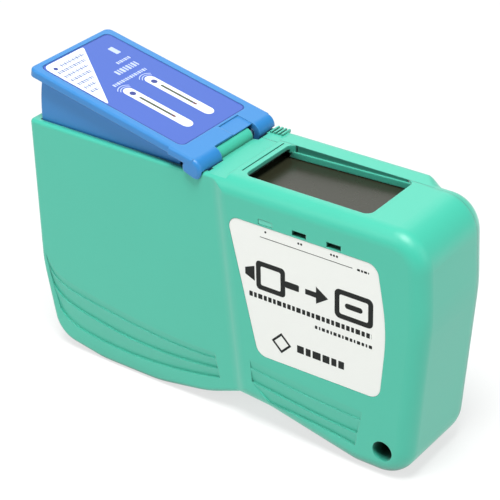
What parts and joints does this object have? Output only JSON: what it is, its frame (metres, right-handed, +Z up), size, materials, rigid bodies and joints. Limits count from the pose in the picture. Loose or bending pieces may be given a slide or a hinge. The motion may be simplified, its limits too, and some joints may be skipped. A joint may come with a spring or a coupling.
{
  "type": "fibre connector cleaning cassette",
  "caption": "Reel-type fibre connector cleaning cassette: a lever slides a shutter off two cleaning slots and winds fresh tape from a supply reel to a ratchet reel.",
  "frame": {"origin": "centre of the bounding box in plan, on the base", "axes": "+X from grip to head along the case, +Y through the thickness from the label side to the removable cover, +Z up"},
  "size_m": [0.1315, 0.035, 0.0896],
  "materials": {
    "front_shell": "moulded turquoise ABS",
    "rear_cover": "moulded turquoise ABS",
    "label_plate": "printed label",
    "type_tab": "pale green tab",
    "hinge_pin": "steel pin",
    "lever": "moulded blue ABS",
    "lever_label": "printed film",
    "drive_pawl": "natural acetal",
    "pawl_pin": "steel pin",
    "shutter": "dark shutter",
    "shutter_arm": "natural acetal",
    "arm_pivot": "steel screw",
    "take_up_reel": "natural acetal",
    "supply_reel": "white plastic",
    "take_up_roll": "used cleaning tape",
    "supply_roll": "fresh cleaning tape",
    "tape_run": "woven cleaning tape",
    "tape_guide": "black guide",
    "slot_plate": "black slot plate",
    "backing_pad": "soft pad",
    "return_spring": "spring steel",
    "guide_roller_left": "acetal roller",
    "guide_roller_right": "acetal roller",
    "roller_axle_left": "steel axle",
    "roller_axle_right": "steel axle",
    "click_spring": "spring steel",
    "brake_spring": "spring steel"
  },
  "bodies": {
    "case": {"front_shell": "front_shell", "label_plate": "label_plate", "type_tab": "type_tab", "hinge_pin": "hinge_pin", "arm_pivot": "arm_pivot", "tape_run": "tape_run", "tape_guide": "tape_guide", "slot_plate": "slot_plate", "backing_pad": "backing_pad", "return_spring": "return_spring", "roller_axle_left": "roller_axle_left", "roller_axle_right": "roller_axle_right", "click_spring": "click_spring", "brake_spring": "brake_spring"},
    "cover": {"rear_cover": "rear_cover"},
    "lever": {"lever": "lever", "lever_label": "lever_label", "pawl_pin": "pawl_pin"},
    "pawl": {"drive_pawl": "drive_pawl"},
    "shutter": {"shutter": "shutter"},
    "arm": {"shutter_arm": "shutter_arm"},
    "take_up": {"take_up_reel": "take_up_reel", "take_up_roll": "take_up_roll"},
    "supply": {"supply_reel": "supply_reel", "supply_roll": "supply_roll"},
    "roller_left": {"guide_roller_left": "guide_roller_left"},
    "roller_right": {"guide_roller_right": "guide_roller_right"}
  },
  "joints": [
    {"name": "lever_press", "type": "hinge", "parent": "case", "child": "lever", "pos_m": [-0.0077, 0, 0.0745], "axis": [0, -1, 0], "range_deg": [0, 13], "stiffness_Nm_per_rad": 0.15, "springref_deg": -17.19, "deforming": ["return_spring"]},
    {"name": "shutter_slide", "type": "slide", "parent": "case", "child": "shutter", "axis": [-0.9994, 0, -0.0349], "range_m": [0, 0.0388]},
    {"name": "arm_swing", "type": "hinge", "parent": "case", "child": "arm", "pos_m": [-0.017, 0, 0.0246], "axis": [0, -1, 0], "range_deg": [0, 56.6]},
    {"name": "pawl_pivot", "type": "hinge", "parent": "lever", "child": "pawl", "pos_m": [-0.01049, 0, 0.05006], "axis": [0, -1, 0], "range_deg": [-13.1, 0]},
    {"name": "take_up_turn", "type": "hinge", "parent": "case", "child": "take_up", "pos_m": [-0.032, 0, 0.027], "axis": [0, 1, 0], "continuous": true},
    {"name": "supply_turn", "type": "hinge", "parent": "case", "child": "supply", "pos_m": [0.036, 0, 0.032], "axis": [0, -1, 0], "continuous": true},
    {"name": "roller_left_turn", "type": "hinge", "parent": "case", "child": "roller_left", "pos_m": [0.00468, 0, 0.06553], "axis": [0, -1, 0], "continuous": true},
    {"name": "roller_right_turn", "type": "hinge", "parent": "case", "child": "roller_right", "pos_m": [0.05015, 0, 0.06712], "axis": [0, -1, 0], "continuous": true},
    {"name": "cover_lift", "type": "slide", "parent": "case", "child": "cover", "axis": [0, 1, 0], "range_m": [0, 0.03]}
  ],
  "couplings": [
    {"joint": "shutter_slide", "follows": "lever_press", "m_per_rad": 0.17078},
    {"joint": "arm_swing", "follows": "lever_press", "ratio": 4.3385},
    {"joint": "pawl_pivot", "follows": "lever_press", "ratio": -1},
    {"joint": "take_up_turn", "follows": "lever_press", "ratio": 1.1192},
    {"joint": "supply_turn", "follows": "lever_press", "ratio": 0.68662},
    {"joint": "roller_left_turn", "follows": "lever_press", "ratio": 4.954},
    {"joint": "roller_right_turn", "follows": "lever_press", "ratio": 4.954}
  ]
}
